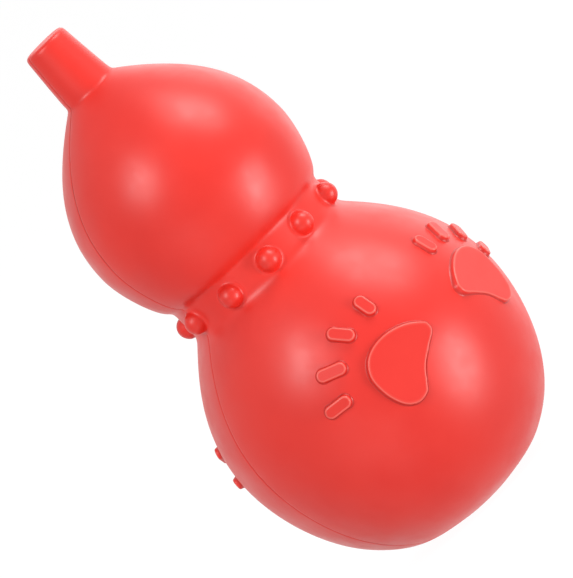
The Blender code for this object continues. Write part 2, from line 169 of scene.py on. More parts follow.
# Painted highlight on the rounded top edges of toes and pads where the attribute is above 0,
# painted shade in the crease at their feet where it is below 0
edge_light = nodes.add("ShaderNodeAttribute", {"attribute_name": "painted_edge_light"}).outputs["Fac"]
skin = nodes.mix(nodes.ramp(edge_light, 0.1, 1.0, 0.0, EDGE_HIGHLIGHT_STRENGTH), skin, EDGE_HIGHLIGHT_RED)
# Painted shade in the crease at the foot of each toe and pad
skin = nodes.mix(nodes.ramp(edge_light, -1.0, -0.1, CREASE_SHADE_STRENGTH, 0.0), skin, CREASE_SHADE_RED)
nodes.put(shader.inputs["Base Color"], skin)

rough_patches = nodes.add(
    "ShaderNodeTexNoise", Vector=place, Scale=ROUGH_PATCHES_PER_METRE, Detail=5.0, Roughness=0.6
)
nodes.put(
    shader.inputs["Roughness"],
    nodes.ramp(
        rough_patches.outputs["Fac"], 0.3, 0.7,
        RUBBER_ROUGHNESS - ROUGHNESS_RANGE, RUBBER_ROUGHNESS + ROUGHNESS_RANGE,
    ),
)  # fmt: skip
grain = nodes.add("ShaderNodeTexNoise", Vector=place, Scale=1 / SKIN_GRAIN, Detail=3.0)
bump = nodes.add(
    "ShaderNodeBump", Strength=1.0, Distance=SKIN_GRAIN_DEPTH, Height=grain.outputs["Fac"]
)
nodes.put(shader.inputs["Normal"], bump.outputs["Normal"])


# Front and back skins
# Each is half of the hollow toy: stem, two lobes, waist band and underside outside, an
# even wall, and the socket for the squeaker. The halves are bonded on the plane y = 0,
# where a shallow groove shows the bond.

STEM_TIP_RADIUS = 5.55 * MM
STEM_BASE_RADIUS = 6.7 * MM
STEM_EDGE_RADIUS = 1.1 * MM
STEM_FOOT = 126.3 * MM
CHEST = (27.42 * MM, 94.0 * MM)
WAIST_RADIUS = 21.7 * MM
WAIST_TOP = 78.2 * MM
WAIST_BOTTOM = 70.5 * MM
BELLY = (37.4 * MM, 38.02 * MM)
HEEL = (18.7 * MM, 3.12 * MM)
BASE_FLAT_RADIUS = 7.4 * MM
MOUTH_ROUNDING = 0.5 * MM  # of the socket's edge
WALL = 4.5 * MM
SKIN_RISE = 0.08 * MM  # of the finished skin over the drawn section
COLLAR_WALL = 4.6 * MM
SQUEAKER_GAP = 0.3 * MM
FLANGE_OVERHANG = 1.8 * MM  # of the squeaker's flange over its cup
FLANGE_LEVEL = 5.0 * MM  # over the cup's mouth
FLANGE_THICKNESS = 1.2 * MM
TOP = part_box("front_shell")[1].z
ROW_STEP = 0.9 * MM
FINE_ROW_STEP = 0.16 * MM  # at the section's corners
FINE_ROWS_REACH = 1.6 * MM
PLAIN_ROWS = 6  # by the socket's mouth, with no groove and no undulation
WALL_ROWS = 60
WALL_SOFTNESS = 1.0 * MM
SKIN_COLUMNS = 132
BOND_COLUMNS = 6  # fine ones at each side of the bond line
BOND_GROOVE_DEPTH = 0.10 * MM
BOND_GROOVE_WIDTH = 0.22 * MM
UNDULATION = 0.035 * MM
SOFTNESS = 0.25 * MM  # of every corner of the section
# Softer creases: height, softness, and how far up and down it reaches
SOFT_CREASES = (
    (STEM_FOOT, 0.45 * MM, 2.5 * MM),
    (WAIST_TOP, 0.8 * MM, 3.0 * MM),
    (WAIST_BOTTOM, 0.9 * MM, 3.0 * MM),
    (0.0, 0.5 * MM, 1.0 * MM),
)
# The toy came out of its mould a little bent: its axis at each height lies this far
# towards the bend's side
BEND_SIDE = (0.887, -0.462)
BEND = (
    (0.0, -0.2), (4.0, -0.15), (7.0, 0.03), (10.0, 0.08), (20.0, 0.15), (45.0, 0.2),
    (70.0, 0.32), (76.0, 0.3), (80.0, 0.2), (92.0, 0.11), (103.0, 0.08), (117.0, 0.14),
    (122.0, 0.25), (125.5, 0.27), (128.0, 0.06), (133.0, 0.0),
)  # fmt: skip


def aim(degrees):
    """Unit vector at an angle above the outward radius."""
    return np.array([math.cos(math.radians(degrees)), math.sin(math.radians(degrees))])


def curve(start, start_angle, end, end_angle, handles, count=60):
    """Cubic curve from start to end, as (radius, height) rows: (1-s)^3 start
    + 3(1-s)^2 s first handle + 3(1-s)s^2 second handle + s^3 end, where each handle lies
    along its angle at its share of the distance between the ends."""
    start = np.array(start)
    end = np.array(end)
    reach = np.linalg.norm(end - start)
    first = start + aim(start_angle) * reach * handles[0]
    second = end - aim(end_angle) * reach * handles[1]
    s = np.linspace(0.0, 1.0, count + 1)[:, None]
    return (
        (1 - s) ** 3 * start + 3 * (1 - s) ** 2 * s * first
        + 3 * (1 - s) * s**2 * second + s**3 * end
    )  # fmt: skip


def along(points):
    """Distance from the first point to each, along the line through them."""
    steps = np.linalg.norm(np.diff(points, axis=0), axis=1)
    return np.concatenate([[0.0], np.cumsum(steps)])


def at(points, distances):
    """Points at distances along a line."""
    length = along(points)
    return np.stack([np.interp(distances, length, column) for column in points.T], axis=1)


def soften(line, softness, step=0.06 * MM):
    """The line with its corners rounded: each of its evenly spaced points becomes the mean
    of them all, weighted exp(-(distance along the line / softness)^2 / 2). The softness is
    one length or one for each point, and shrinks to nothing at both ends."""
    length = along(line)[-1]
    distance = np.linspace(0.0, length, int(length / step) + 1)
    even = at(line, distance)
    width = softness(even) if callable(softness) else np.full(len(even), softness)
    width = np.minimum(width, 0.3 * np.minimum(distance, length - distance) + step / 4)
    weights = np.exp(-0.5 * ((distance - distance[:, None]) / width[:, None]) ** 2)
    return weights @ even / weights.sum(axis=1)[:, None]


def inward(line, depth):
    """The line moved by a depth at right angles to itself, towards the inside."""
    tangent = np.gradient(line, axis=0)
    tangent /= np.linalg.norm(tangent, axis=1)[:, None]
    return line + depth * np.stack([tangent[:, 1], -tangent[:, 0]], axis=1)


def corner_softness(points):
    """Softness of the section's corners: the common one, and each soft crease's own inside
    a bell round its height, exp(-(height from the crease / reach)^2)."""
    width = np.full(len(points), SOFTNESS)
    for height, softness, reach in SOFT_CREASES:
        near = np.exp(-(((points[:, 1] - height) / reach) ** 2))
        width = np.maximum(width, SOFTNESS + (softness - SOFTNESS) * near)
    return width


def bent(points):
    """The points moved sideways with the bend of the axis at their height."""
    height, shift = np.array(BEND).T * MM
    moved = np.interp(points[..., 2:], height, shift)
    return points + moved * np.array([*BEND_SIDE, 0.0])


lower_lobe = np.concatenate([
    curve((BASE_FLAT_RADIUS, 0.0), 11.0, HEEL, 27.6, (0.33, 0.33)),
    curve(HEEL, 27.6, BELLY, 90.0, (0.384, 0.283))[1:],
    curve(BELLY, 90.0, (WAIST_RADIUS, WAIST_BOTTOM), 105.0, (0.532, 0.055))[1:],
])  # fmt: skip
upper_lobe = np.concatenate([
    curve((WAIST_RADIUS, WAIST_TOP), -1.0, CHEST, 90.0, (0.126, 0.35)),
    curve(CHEST, 90.0, (STEM_BASE_RADIUS, STEM_FOOT), 144.2, (0.33, 0.456))[1:],
])  # fmt: skip
tip_centre = np.array([STEM_TIP_RADIUS - STEM_EDGE_RADIUS, TOP - STEM_EDGE_RADIUS])
tip_edge = np.array([tip_centre + STEM_EDGE_RADIUS * aim(angle) for angle in range(0, 91, 10)])
squeaker_low, squeaker_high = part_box("squeaker_body")
socket_radius = squeaker_high.x - FLANGE_OVERHANG + SQUEAKER_GAP
mouth_centre = np.array([socket_radius + MOUTH_ROUNDING, MOUTH_ROUNDING])
mouth = np.array([mouth_centre + MOUTH_ROUNDING * aim(angle) for angle in range(270, 179, -15)])
outside = np.concatenate([
    [(0.0, TOP)], tip_edge[::-1], upper_lobe[::-1], lower_lobe[::-1], mouth[:1],
])  # fmt: skip
outside = inward(soften(outside, corner_softness), -SKIN_RISE)
outside = np.maximum(outside, 0.0)
outside[0, 0] = 0.0


def uneven_rows(line, features, coarse, fine, reach):
    """Distances along a line: steps are coarse, and shrink to fine within reach of each
    feature, a point whose nearest place on the line is found first."""
    length = along(line)
    step = np.full(len(line), coarse)
    for feature in features:
        nearest = length[np.argmin(np.linalg.norm(line - np.array(feature), axis=1))]
        near = np.exp(-(((length - nearest) / reach) ** 2))
        step = np.minimum(step, coarse - (coarse - fine) * near)
    count = np.concatenate([[0.0], np.cumsum(np.diff(length) / step[:-1])])
    rows = int(math.ceil(count[-1]))
    return np.interp(np.linspace(0.0, count[-1], rows + 1), count, length)


sharp_places = (
    (STEM_TIP_RADIUS, TOP), (STEM_BASE_RADIUS, STEM_FOOT), (WAIST_RADIUS, WAIST_TOP),
    (WAIST_RADIUS, WAIST_BOTTOM), (BASE_FLAT_RADIUS, 0.0),
)  # fmt: skip
outer_rows = at(
    outside, uneven_rows(outside, sharp_places, ROW_STEP, FINE_ROW_STEP, FINE_ROWS_REACH)
)

flange = squeaker_high.x + SQUEAKER_GAP
groove_low = squeaker_low.z + FLANGE_LEVEL - SQUEAKER_GAP
groove_high = squeaker_low.z + FLANGE_LEVEL + FLANGE_THICKNESS + SQUEAKER_GAP
collar_top = squeaker_high.z + SQUEAKER_GAP
socket_rows = np.concatenate([
    mouth[1:],
    [
        (socket_radius, groove_low), (flange, groove_low), (flange, groove_high),
        (socket_radius, groove_high), (socket_radius, collar_top),
        (socket_radius + COLLAR_WALL, collar_top),
    ],
])  # fmt: skip


wall_line = inward(outer_rows, WALL)
to_outside = np.linalg.norm(wall_line[:, None] - outer_rows, axis=2).min(axis=1)
in_hollow = (wall_line[:, 0] > STEM_TIP_RADIUS / 2) & (outer_rows[:, 1] < STEM_FOOT)
in_hollow &= to_outside > 0.97 * WALL
beside_collar = wall_line[:, 0] > socket_radius + 1.5 * COLLAR_WALL
in_hollow &= beside_collar | (wall_line[:, 1] > collar_top)
wall_line = soften(wall_line[in_hollow][::-1], WALL_SOFTNESS)
wall_rows = at(wall_line, np.linspace(0.0, along(wall_line)[-1], WALL_ROWS))
hollow_rows = np.concatenate([
    [(socket_radius + COLLAR_WALL, wall_rows[0, 1] - WALL / 4)], wall_rows,
    [(0.0, wall_rows[-1, 1] + WALL / 8)],
])  # fmt: skip
section = np.concatenate([outer_rows, socket_rows, hollow_rows])


def undulation(points):
    """Slow unevenness of the moulded skin: the sum of six plane waves of unlike direction
    and length, each a sine of the place along its direction."""
    waves = np.array([
        (210.0, 90.0, 60.0), (-150.0, 260.0, 110.0), (120.0, -180.0, 240.0),
        (-310.0, -90.0, 170.0), (260.0, 240.0, -200.0), (70.0, 330.0, 290.0),
    ])  # fmt: skip
    return np.sin(points @ waves.T + np.arange(6.0)).sum(axis=-1) / 6.0


def columns_over_half():
    """Angles from -180 to 0 degrees: even ones, and finer ones at both ends, by the bond."""
    fine = np.linspace(0.0, 1.0, BOND_COLUMNS + 1)[:-1] ** 2
    even = np.linspace(0.0, 180.0, SKIN_COLUMNS + 1)
    steps = np.concatenate([fine * even[1], even[1:-1], 180.0 - fine[::-1] * even[1]])
    return np.radians(steps - 180.0)


def put_mesh(name, points, faces, material, smooth_angle=40.0, painted_edge_light=None):
    """A mesh object from points and faces, doubles merged and faces outward as given. The last
    argument, if given, is each point's painted highlight, or its painted shade where it is below
    0."""
    mesh = bpy.data.meshes.new(name)
    mesh.from_pydata(points.reshape(-1, 3).tolist(), [], faces)
    if painted_edge_light is not None:
        mesh.attributes.new("painted_edge_light", "FLOAT", "POINT").data.foreach_set("value", painted_edge_light)
    shape = bmesh.new()
    shape.from_mesh(mesh)
    bmesh.ops.remove_doubles(shape, verts=shape.verts, dist=1e-7)
    shape.to_mesh(mesh)
    shape.free()
    mesh.materials.append(material)
    mesh.shade_smooth()
    mesh.set_sharp_from_angle(angle=math.radians(smooth_angle))
    made = bpy.data.objects.new(name, mesh)
    bpy.context.scene.collection.objects.link(made)
    return made


def grid_faces(rows, columns, first=0, closed=False):
    """Four-sided faces of a grid whose points are listed row by row. In a closed grid the
    last column joins the first."""
    index = first + np.arange(rows * columns).reshape(rows, columns)
    if closed:
        index = np.concatenate([index, index[:, :1]], axis=1)
    corners = [index[:-1, :-1], index[1:, :-1], index[1:, 1:], index[:-1, 1:]]
    return np.stack(corners, axis=-1).reshape(-1, 4).tolist()


def half_skin():
    """Points and faces of the front half: the section (radius, height) turned from -X by
    way of -Y to +X, so x = radius cos(angle) and y = radius sin(angle). The outer part is
    lowered by the bond groove, depth exp(-(y/width)^2), and by the undulation. Both ends
    are closed with the flat section."""
    angles = columns_over_half()
    radius = section[:, :1] * np.ones_like(angles)
    height = section[:, 1:] * np.ones_like(angles)
    y = radius * np.sin(angles)
    tangent = np.gradient(section, axis=0)
    tangent /= np.linalg.norm(tangent, axis=1)[:, None] + 1e-12
    is_outer = (np.arange(len(section)) < len(outer_rows) - PLAIN_ROWS)[:, None]
    places = np.stack([radius * np.cos(angles), y, height], axis=-1)
    lowered = BOND_GROOVE_DEPTH * np.exp(-((y / BOND_GROOVE_WIDTH) ** 2))
    lowered = lowered + UNDULATION * (1 + undulation(places))
    lowered = lowered * is_outer * np.clip(radius / STEM_TIP_RADIUS, 0.0, 1.0)
    radius = radius + lowered * tangent[:, 1:]
    height = height - lowered * tangent[:, :1]
    points = np.stack([radius * np.cos(angles), radius * np.sin(angles), height], axis=-1)
    points[:, [0, -1], 1] = 0.0
    faces = grid_faces(len(section), len(angles))
    first_column = np.arange(len(section)) * len(angles)
    faces.append(first_column[::-1].tolist())
    faces.append((first_column + len(angles) - 1).tolist())
    return points, faces


skin_points, skin_faces = half_skin()
half_turn = np.array([-1.0, -1.0, 1.0])
front_skin = put_mesh("front_skin", bent(skin_points), skin_faces, red_rubber)
back_skin = put_mesh("back_skin", bent(skin_points * half_turn), skin_faces, red_rubber)
for piece, node in ((front_skin, "front_shell"), (back_skin, "back_shell")):
    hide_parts(node)
    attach(piece, "toy_body")


# Nubs
# Ten domed rubber nubs round the waist band, moulded in one with the shells, five on each.
# They stand at uneven steps, as in the photo, and a small fillet joins them to the band.

DECORATION_TURN = math.radians(8.0)
NUB_RADIUS = 2.75 * MM
NUB_RISE = 0.2 * MM  # middle of each ball over the band
NUB_FILLET = 0.7 * MM
NUB_SKIRT = 0.5 * MM  # past the fillet's foot, under the skin
NUB_UNDER_SKIN = 0.15 * MM
NUB_AROUND = 64
# Each nub: angle in degrees from the prints' line towards -X, height over the band's foot
FRONT_NUBS = (
    (62.3, 3.1 * MM),
    (31.0, 3.2 * MM),
    (0.5, 3.5 * MM),
    (-35.5, 3.3 * MM),
    (-75.0, 3.1 * MM),
)
BACK_NUBS = (
    (-117.9, 4.1 * MM),
    (-147.5, 3.8 * MM),
    (178.0, 3.5 * MM),
    (139.5, 2.4 * MM),
    (97.0, 3.4 * MM),
)


def tangent_axes(angle, height, lean=0.0):
    """Point of the skin at an angle from -Y towards -X and a height, and the axes there:
    right as seen from outside, up and out, the first two turned by the lean."""
    heights = outer_rows[::-1, 1]
    radii = outer_rows[::-1, 0]
    radius = np.interp(height, heights, radii)
    above, below = (np.interp(height + step, heights, radii) for step in (MM, -MM))
    slope = (above - below) / (2 * MM)
    radial = np.array([-math.sin(angle), -math.cos(angle), 0.0])
    out = (radial - np.array([0.0, 0.0, slope])) / math.hypot(1.0, slope)
    right = np.array([math.cos(angle), -math.sin(angle), 0.0])
    up = np.cross(out, right)
    turn_right = math.cos(lean) * right + math.sin(lean) * up
    turn_up = math.cos(lean) * up - math.sin(lean) * right
    return radial * radius + np.array([0.0, 0.0, height]), turn_right, turn_up, out


def skin_depth(x, y, axes):
    """How far out the skin lies from the tangent plane at x right and y up. Six rounds of
    moving each point out by how much its distance from the axis falls short of the skin."""
    origin, right, up, out = axes
    depth = np.zeros_like(x)
    heights = outer_rows[::-1, 1]
    radii = outer_rows[::-1, 0]
    for _ in range(6):
        point = origin + x[..., None] * right + y[..., None] * up + depth[..., None] * out
        short = np.interp(point[..., 2], heights, radii) - np.hypot(point[..., 0], point[..., 1])
        depth = depth + short
    return depth


def raise_shape(x, y, top, from_skin, over_skin, axes):
    """Points of rings on the tangent plane: where from_skin is 0 a ring lies at its top
    height over the plane, where it is 1 at over_skin over the skin, and between them it is
    shared out."""
    skin_level = skin_depth(x, y, axes) + over_skin[:, None]
    level = (1 - from_skin[:, None]) * top + from_skin[:, None] * skin_level
    origin, right, up, out = axes
    return origin + x[..., None] * right + y[..., None] * up + level[..., None] * out


def nub_rings(axes):
    """One nub: rings of a ball, radius R sin(a) and height R cos(a) plus its rise, down to
    the fillet's start, then an arc that turns into the skin and under it."""
    start = math.acos((NUB_FILLET - NUB_RISE) / (NUB_RADIUS + NUB_FILLET))
    a = np.linspace(0.01, start, 20)
    b = np.linspace(start, 0.0, 8)[1:]
    foot = (NUB_RADIUS + NUB_FILLET) * math.sin(start)
    radius = np.concatenate([
        NUB_RADIUS * np.sin(a), foot - NUB_FILLET * np.sin(b), [foot + NUB_SKIRT],
    ])  # fmt: skip
    height = np.concatenate([
        NUB_RADIUS * np.cos(a) + NUB_RISE, NUB_FILLET * (1 - np.cos(b)), [-NUB_UNDER_SKIN],
    ])  # fmt: skip
    from_skin = np.clip((radius / NUB_RADIUS - 0.3) / 0.6, 0.0, 1.0)
    around = np.linspace(0.0, 2 * math.pi, NUB_AROUND, endpoint=False)
    x = radius[:, None] * np.cos(around)
    y = radius[:, None] * np.sin(around)
    return raise_shape(x, y, height[:, None], from_skin, height, axes)


def closed_rings(rings, first=0):
    """Faces of rings listed from the middle of the top outwards, closed at both ends."""
    rows, columns = rings.shape[:2]
    index = first + np.arange(rows * columns).reshape(rows, columns)
    return [index[0].tolist(), *grid_faces(rows, columns, first, True), index[-1][::-1].tolist()]


def put_raised(name, shapes, shell, edges=None):
    """One object for a group of raised shapes, each its rings, on one of the shells. Edges
    gives each ring of each shape its painted highlight, or its painted shade where it is below 0."""
    points = []
    faces = []
    count = 0
    painted_edge_light = None
    if edges is not None:
        painted_edge_light = np.concatenate([
            np.repeat(rows, rings.shape[1]) for rows, rings in zip(edges, shapes)
        ])  # fmt: skip
    for rings in shapes:
        faces += closed_rings(rings, count)
        points.append(rings.reshape(-1, 3))
        count += rings.shape[0] * rings.shape[1]
    made = put_mesh(name, bent(np.concatenate(points)), faces, red_rubber, painted_edge_light=painted_edge_light)
    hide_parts(shell)
    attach(made, "toy_body")
    return made


for name, places, shell in (
    ("front_nubs", FRONT_NUBS, "front_shell"), ("back_nubs", BACK_NUBS, "back_shell"),
):  # fmt: skip
    shapes = [
        nub_rings(tangent_axes(math.radians(angle) - DECORATION_TURN, WAIST_BOTTOM + height))
        for angle, height in places
    ]
    put_raised(name, shapes, shell)


# Paw prints
# Two raised prints on each shell, nearly mirror images: four toes and a pad each,
# moulded in one with the shell. Their tops are flat, their edges rounded.

TOE_WIDTH = 3.5 * MM
TOE_RISE = 1.0 * MM
TOE_EDGE = 0.42 * MM
TOE_DRAFT = 0.16 * MM
PAD_RISE = 0.1 * MM
PAD_EDGE = 0.36 * MM
PAD_DRAFT = 0.12 * MM
FOOT_FILLET = 0.14 * MM
FOOT_SKIRT = 0.35 * MM  # past the fillet's foot, under the skin
FOOT_UNDER_SKIN = 0.12 * MM
EDGE_ROWS = 8
FOOT_ROWS = 6
# Each toe: angle in degrees from the line, height, length, and lean from the horizontal
LEFT_TOES = (
    (19.2, 52.6 * MM, 6.1 * MM, 94.5),
    (33.0, 51.9 * MM, 6.9 * MM, 129.0),
    (44.5, 47.6 * MM, 7.6 * MM, 160.0),
    (50.8, 41.2 * MM, 7.3 * MM, 175.0),
)
RIGHT_TOES = (
    (19.3, 51.6 * MM, 6.2 * MM, 94.0),
    (32.5, 50.9 * MM, 7.0 * MM, 127.0),
    (44.0, 47.0 * MM, 7.0 * MM, 152.0),
    (48.0, 40.2 * MM, 7.0 * MM, 172.0),
)
LEFT_PAD_ANGLE = 23.5
RIGHT_PAD_ANGLE = 24.2
PAD_HEIGHT = 37.8 * MM
# The left pad's outline as seen from outside, right and up from its middle, in mm
PAD_OUTLINE = (
    (-8.9, 1.2),
    (-8.2, 4.1),
    (-6.1, 6.6),
    (-2.9, 7.9),
    (1.3, 7.9),
    (5.7, 6.4),
    (9.0, 3.9),
    (9.7, 2.3),
    (9.0, 0.5),
    (5.8, -1.5),
    (2.5, -3.9),
    (-0.1, -7.0),
    (-1.4, -8.2),
    (-4.2, -8.5),
    (-6.9, -6.7),
    (-8.5, -3.0),
)


def edge_steps(edge, draft):
    """The rim of a raised shape, from its top edge down to under the skin, as four rows:
    how far in from the foot, 0 for a height below the top or 1 for one over the skin, the
    height over the skin, and the depth below the top. Top edge and foot are quarter circles."""
    turn = np.radians(np.linspace(90.0, 0.0, EDGE_ROWS))
    foot = FOOT_FILLET * (1 - np.sin(np.radians(np.linspace(0.0, 90.0, FOOT_ROWS))))
    inset = [FOOT_FILLET + draft + edge * (1 - np.cos(turn)), foot, [-FOOT_SKIRT]]
    over = [np.zeros(EDGE_ROWS), foot, [-FOOT_UNDER_SKIN]]
    below = [edge * (1 - np.sin(turn)), np.zeros(FOOT_ROWS + 1)]
    from_skin = [np.zeros(EDGE_ROWS), np.ones(FOOT_ROWS + 1)]
    return [np.concatenate(row) for row in (inset, from_skin, over, below)]


def with_top(rows, count):
    """The four rows of a rim with count more rings in front, all level with the top."""
    return [np.concatenate([np.full(count, row[0]), row]) for row in rows]


def toe_rings(axes, length):
    """One toe: every ring is a strip with round ends, the foot's strip drawn in by the
    inset, and the top closes on its middle line."""
    rows = edge_steps(TOE_EDGE, TOE_DRAFT)
    inner = np.linspace(TOE_WIDTH / 2 - 0.02 * MM, rows[0][0], 6)[:-1]
    inset, from_skin, over, below = with_top(rows, len(inner))
    inset[: len(inner)] = inner
    around = np.linspace(0.0, 2 * math.pi, 96, endpoint=False)
    radius = TOE_WIDTH / 2 - inset[:, None]
    straight = (length - TOE_WIDTH) / 2 * np.sign(np.cos(around))
    x = radius * np.cos(around) + straight
    y = radius * np.sin(around)
    return raise_shape(x, y, TOE_RISE - below[:, None], from_skin, over, axes)


def smooth_loop(corners, count):
    """Evenly spaced points of a closed curve through the corners: between two of them, the
    cubic whose slope at each is half the step from the corner before to the one after."""
    corners = np.array(corners)
    before = np.roll(corners, 1, axis=0)
    after = np.roll(corners, -1, axis=0)
    beyond = np.roll(corners, -2, axis=0)
    s = np.linspace(0.0, 1.0, 24, endpoint=False)[None, :, None]
    p0, p1, p2, p3 = (c[:, None, :] for c in (before, corners, after, beyond))
    loop = 0.5 * (2 * p1 + (p2 - p0) * s + (2 * p0 - 5 * p1 + 4 * p2 - p3) * s**2
                  + (3 * p1 - p0 - 3 * p2 + p3) * s**3)  # fmt: skip
    loop = loop.reshape(-1, 2)
    loop = np.concatenate([loop, loop[:1]])
    return at(loop, np.linspace(0.0, along(loop)[-1], count, endpoint=False))


def pad_rings(axes, mirrored):
    """One pad: rings follow the outline, moved in along its normals, and the flat top is
    the innermost of them shrunk to its middle."""
    side = -1.0 if mirrored else 1.0
    loop = smooth_loop(PAD_OUTLINE, 260) * MM
    tangent = np.roll(loop, -1, axis=0) - np.roll(loop, 1, axis=0)
    tangent /= np.linalg.norm(tangent, axis=1)[:, None]
    inner_normal = np.stack([tangent[:, 1], -tangent[:, 0]], axis=1)
    rows = edge_steps(PAD_EDGE, PAD_DRAFT)
    rings = loop + rows[0][:, None, None] * inner_normal
    middle = rings[0].mean(axis=0)
    shares = np.linspace(0.0, 1.0, 13)[:-1][:, None, None]
    rings = np.concatenate([middle + (rings[0] - middle) * shares, rings])
    _, from_skin, over, below = with_top(rows, len(shares))
    x = rings[:, ::-1, 0] * side
    return raise_shape(x, rings[:, ::-1, 1], PAD_RISE - below[:, None], from_skin, over, axes)


def paw_print(toes, pad_angle, mirrored):
    """The rings of the four toes and the pad of one print."""
    side = -1.0 if mirrored else 1.0
    made = []
    for angle, height, length, lean in toes:
        turn = side * math.radians(angle) - DECORATION_TURN
        axes = tangent_axes(turn, height, side * math.radians(lean))
        made.append(toe_rings(axes, length))
    axes = tangent_axes(side * math.radians(pad_angle) - DECORATION_TURN, PAD_HEIGHT)
    rings = pad_rings(axes, mirrored)
    made.append(rings[:, ::-1] if mirrored else rings)
    return made


def rim_painted_light(rings):
    """How much painted light each ring gets: painted highlight most in the middle of the rounded
    top edge, sin of its way round, painted shade from the foot down, and neither on the flat top."""
    edge = np.sin(np.linspace(0.15 * math.pi, math.pi, EDGE_ROWS))
    foot = np.full(FOOT_ROWS + 1, -1.0)
    return np.concatenate([np.zeros(len(rings) - len(edge) - len(foot)), edge, foot])


left_print = paw_print(LEFT_TOES, LEFT_PAD_ANGLE, False)
right_print = paw_print(RIGHT_TOES, RIGHT_PAD_ANGLE, True)
for name, rings_list, turn, shell in (
    ("front_left_print", left_print, 1.0, "front_shell"),
    ("front_right_print", right_print, 1.0, "front_shell"),
    ("back_left_print", left_print, half_turn, "back_shell"),
    ("back_right_print", right_print, half_turn, "back_shell"),
):
    # Each ring's painted highlight on the rounded top edge, or painted shade at the foot
    edges = [rim_painted_light(rings) for rings in rings_list]
    put_raised(name, [rings * turn for rings in rings_list], shell, edges)


# Squeaker's cup
# A cup of white plastic with a thin wall and a flange, pushed into the socket in the base
# until the flange snaps into its groove. Its corners are rounded, as moulded ones are.

PLASTIC_WHITE = (0.78, 0.78, 0.75)
PLASTIC_SHADE = (0.70, 0.69, 0.64)  # faint yellowing in patches
PLASTIC_DIRT = (0.45, 0.42, 0.38)
PATCHES_PER_METRE = 230.0
DIRT_PER_METRE = 900.0
SCUFFS_PER_METRE = 1400.0
PLASTIC_ROUGHNESS = 0.42
PLASTIC_GRAIN = 0.28 * MM
PLASTIC_GRAIN_DEPTH = 0.002 * MM
CUP_WALL = 0.8 * MM
CUP_LIP_WIDTH = 0.9 * MM
CUP_LIP_THICKNESS = 0.8 * MM
CUP_RADIUS = squeaker_high.x - FLANGE_OVERHANG
FLANGE_LOW = squeaker_low.z + FLANGE_LEVEL
FLANGE_HIGH = FLANGE_LOW + FLANGE_THICKNESS
CUP_EDGE = 0.15 * MM
CUP_AROUND = 144

white_plastic, shader, nodes = new_material("white_plastic")
place = nodes.add("ShaderNodeTexCoord").outputs["Object"]
patches = nodes.add("ShaderNodeTexNoise", Vector=place, Scale=PATCHES_PER_METRE, Detail=3.0)
aged = nodes.ramp(patches.outputs["Fac"], 0.4, 0.7)
dirt = nodes.add("ShaderNodeTexNoise", Vector=place, Scale=DIRT_PER_METRE, Detail=4.0)
dirty = nodes.ramp(dirt.outputs["Fac"], 0.62, 0.72, 0.0, 0.35)
plastic = nodes.mix(aged, PLASTIC_WHITE, PLASTIC_SHADE)
nodes.put(shader.inputs["Base Color"], nodes.mix(dirty, plastic, PLASTIC_DIRT))
scuffs = nodes.add("ShaderNodeTexNoise", Vector=place, Scale=SCUFFS_PER_METRE, Detail=4.0)
nodes.put(
    shader.inputs["Roughness"],
    nodes.ramp(scuffs.outputs["Fac"], 0.3, 0.7, PLASTIC_ROUGHNESS - 0.07, PLASTIC_ROUGHNESS + 0.1),
)
grain = nodes.add("ShaderNodeTexNoise", Vector=place, Scale=1 / PLASTIC_GRAIN, Detail=2.0)
bump = nodes.add(
    "ShaderNodeBump", Strength=1.0, Distance=PLASTIC_GRAIN_DEPTH, Height=grain.outputs["Fac"]
)
nodes.put(shader.inputs["Normal"], bump.outputs["Normal"])


def rounded_path(corners, edge, steps=5):
    """A closed path of (radius, height) corners, each cut back by the edge to both sides
    and joined by a parabola whose middle handle is the corner."""
    corners = np.array(corners)
    rows = []
    s = np.linspace(0.0, 1.0, steps)[:, None]
    befores, afters = np.roll(corners, 1, axis=0), np.roll(corners, -1, axis=0)
    for before, corner, after in zip(befores, corners, afters):
        back = (before - corner) / np.linalg.norm(before - corner)
        ahead = (after - corner) / np.linalg.norm(after - corner)
        start, end = corner + edge * back, corner + edge * ahead
        rows.append((1 - s) ** 2 * start + 2 * (1 - s) * s * corner + s**2 * end)
    return np.concatenate(rows)


def turned_ring(rows, columns):
    """Points of closed rows (radius, height) turned about the axis: x = radius cos(angle),
    y = radius sin(angle), the last row joined to the first."""
    angles = np.linspace(0.0, 2 * math.pi, columns, endpoint=False)
    rows = np.concatenate([rows, rows[:1]])
    return np.stack([
        rows[:, :1] * np.cos(angles), rows[:, :1] * np.sin(angles),
        rows[:, 1:] * np.ones_like(angles),
    ], axis=-1)  # fmt: skip


cup_bore = CUP_RADIUS - CUP_WALL
cup_top = squeaker_high.z
cup_rows = rounded_path([
    (CUP_RADIUS, cup_top), (CUP_RADIUS, FLANGE_HIGH), (squeaker_high.x, FLANGE_HIGH),
    (squeaker_high.x, FLANGE_LOW), (CUP_RADIUS, FLANGE_LOW), (CUP_RADIUS, squeaker_low.z),
    (cup_bore, squeaker_low.z), (cup_bore, cup_top - CUP_LIP_THICKNESS),
    (cup_bore - CUP_LIP_WIDTH, cup_top - CUP_LIP_THICKNESS), (cup_bore - CUP_LIP_WIDTH, cup_top),
], CUP_EDGE)  # fmt: skip
cup_points = turned_ring(cup_rows, CUP_AROUND)
cup_faces = grid_faces(len(cup_rows) + 1, CUP_AROUND, closed=True)
cup = put_mesh("squeaker_cup", cup_points, cup_faces, white_plastic)
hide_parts("squeaker_body")
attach(cup, "toy_body")


# Squeaker's cap
# A disc of the same plastic pressed into the cup's outer end, with six air holes round its
# middle. Its rim and the holes' edges are rounded.

CAP_EDGE = 0.25 * MM
HOLE_RADIUS = 0.7 * MM
HOLE_CIRCLE = 2.5 * MM
HOLE_EDGE = 0.14 * MM
HOLES = 6
SECTOR_STEPS = 10  # points on each side of a sector's boundary
cap_low, cap_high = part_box("squeaker_cap")
cap_radius = cap_high.x


